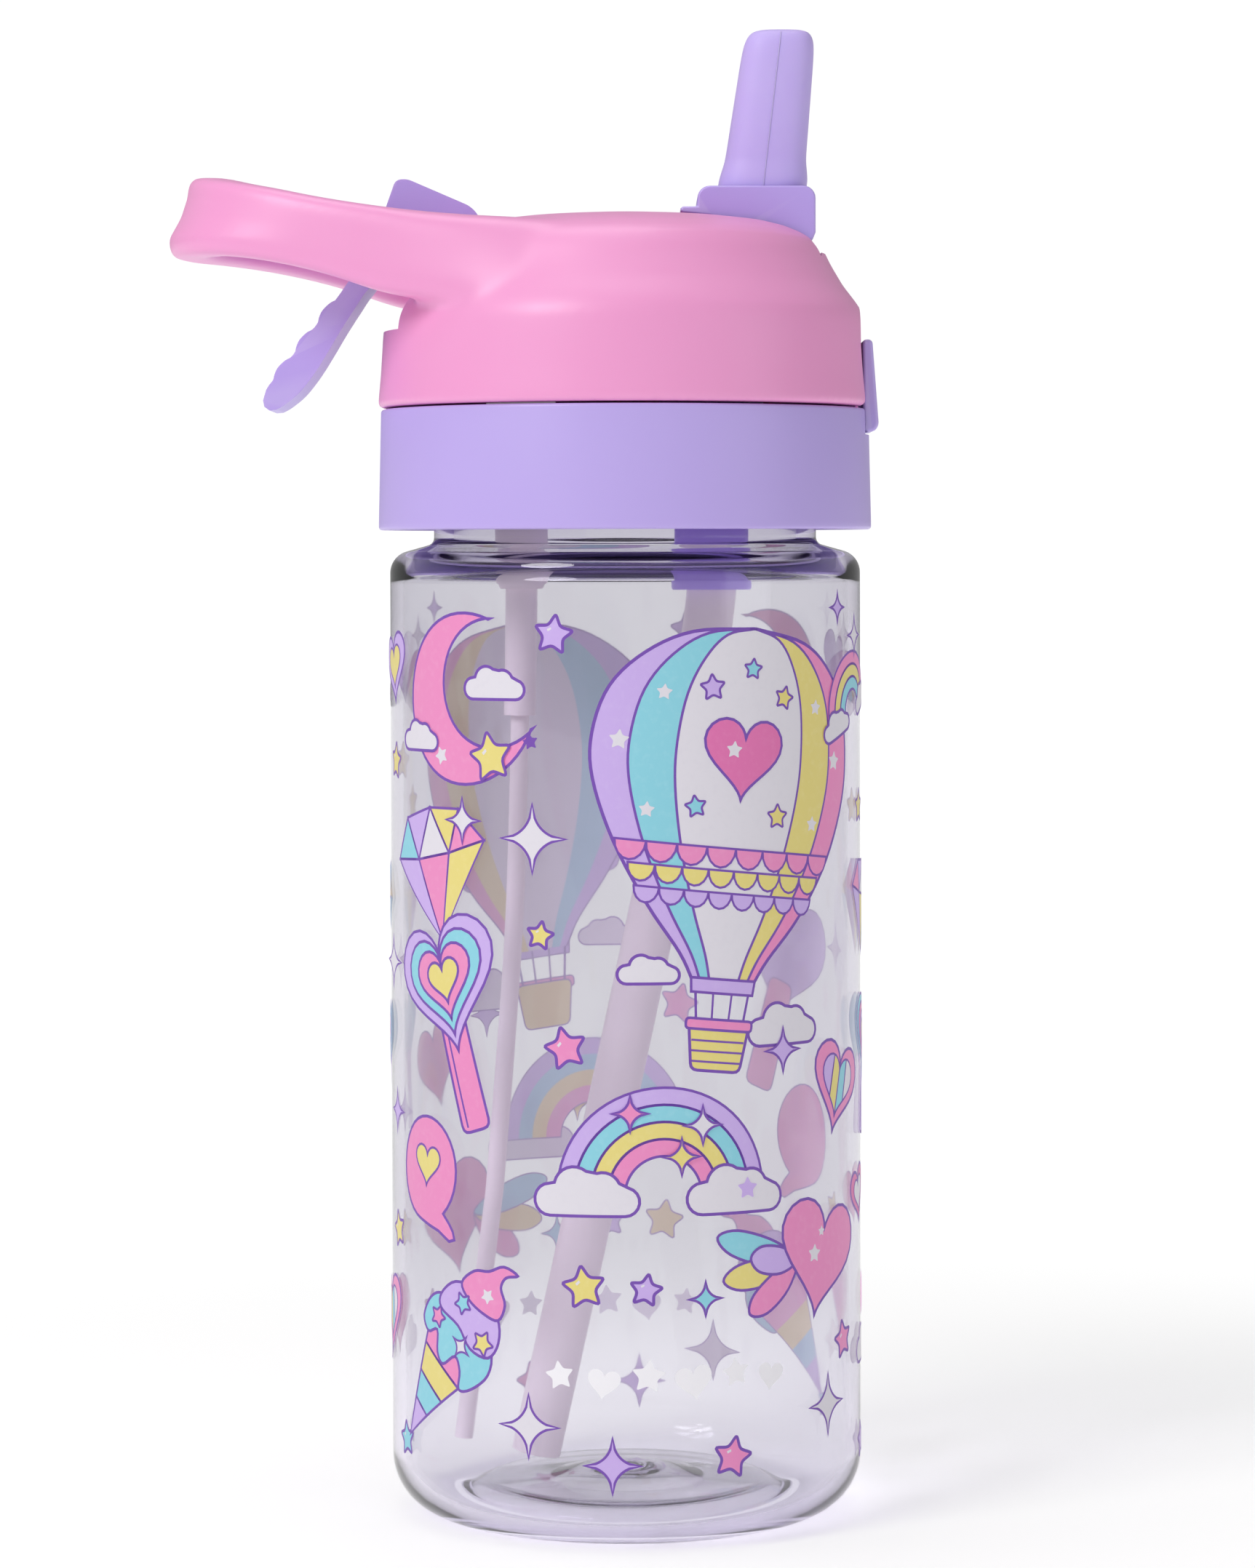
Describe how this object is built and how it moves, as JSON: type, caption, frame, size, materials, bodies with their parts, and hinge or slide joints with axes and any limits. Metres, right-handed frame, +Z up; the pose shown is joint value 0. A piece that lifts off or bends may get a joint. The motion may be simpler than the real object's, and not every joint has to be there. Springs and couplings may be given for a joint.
{
  "type": "kids water bottle",
  "caption": "Clear bottle with a screw cap, a dome lid with a carry loop, a flip-up soft spout, a rear thumb lever and a front latch button.",
  "frame": {"origin": "centre of the base on the bottle's axis, at the level of the surface it stands on", "axes": "+Z up along the bottle's axis, +X towards the spout's latch, -X towards the carry loop"},
  "size_m": [0.1142, 0.0798, 0.2393],
  "materials": {
    "bottle_body": "clear, faint lilac-grey tint",
    "neck_seal": "soft matt silicone",
    "cap_collar": "satin lilac",
    "lid_shell": "satin pink",
    "spout": "soft satin silicone",
    "spout_carrier": "satin lilac",
    "spout_pin": "drawn steel",
    "spout_spring": "spring wire",
    "spout_neck": "soft satin silicone",
    "rear_lever": "satin lilac",
    "lever_pin": "drawn steel",
    "lever_spring": "spring wire",
    "latch_button": "satin lilac",
    "latch_spring": "spring wire",
    "straw_connector": "satin lilac",
    "straw_grommet": "soft matt silicone",
    "drinking_straw": "translucent pinkish silicone",
    "vent_nipple": "translucent silicone",
    "vent_sleeve": "translucent silicone",
    "vent_tube": "translucent silicone"
  },
  "bodies": {
    "bottle": {"bottle_body": "bottle_body"},
    "seal": {"neck_seal": "neck_seal"},
    "cap": {"cap_collar": "cap_collar", "lid_shell": "lid_shell", "straw_connector": "straw_connector", "straw_grommet": "straw_grommet", "drinking_straw": "drinking_straw", "vent_nipple": "vent_nipple", "vent_sleeve": "vent_sleeve", "vent_tube": "vent_tube", "spout_neck": "spout_neck", "spout_pin": "spout_pin", "lever_pin": "lever_pin"},
    "spout": {"spout": "spout", "spout_carrier": "spout_carrier", "spout_spring": "spout_spring"},
    "lever": {"rear_lever": "rear_lever", "lever_spring": "lever_spring"},
    "latch": {"latch_button": "latch_button", "latch_spring": "latch_spring"}
  },
  "joints": [
    {"name": "lid_lift", "type": "slide", "parent": "bottle", "child": "seal", "axis": [0, 0, 1], "range_m": [0, 0.00501]},
    {"name": "lid_turn", "type": "hinge", "parent": "seal", "child": "cap", "pos_m": [0, 0, 0.17], "axis": [0, 0, 1], "range_deg": [0, 450]},
    {"name": "lever_close", "type": "hinge", "parent": "cap", "child": "lever", "pos_m": [-0.027, 0, 0.197], "axis": [0, 1, 0], "range_deg": [0, 38]},
    {"name": "spout_fold", "type": "hinge", "parent": "cap", "child": "spout", "pos_m": [0.021, 0, 0.205], "axis": [0, 1, 0], "range_deg": [-95, 0], "stiffness_Nm_per_rad": 0.01, "springref_deg": 34.38},
    {"name": "latch_press", "type": "slide", "parent": "cap", "child": "latch", "axis": [-1, 0, 0], "range_m": [0, 0.0018], "stiffness_N_per_m": 300, "springref_m": -0.001}
  ],
  "couplings": [
    {"joint": "lid_lift", "follows": "lid_turn", "m_per_rad": 0.00063662},
    {"joint": "spout_fold", "follows": "lever_close", "ratio": -2.5}
  ]
}
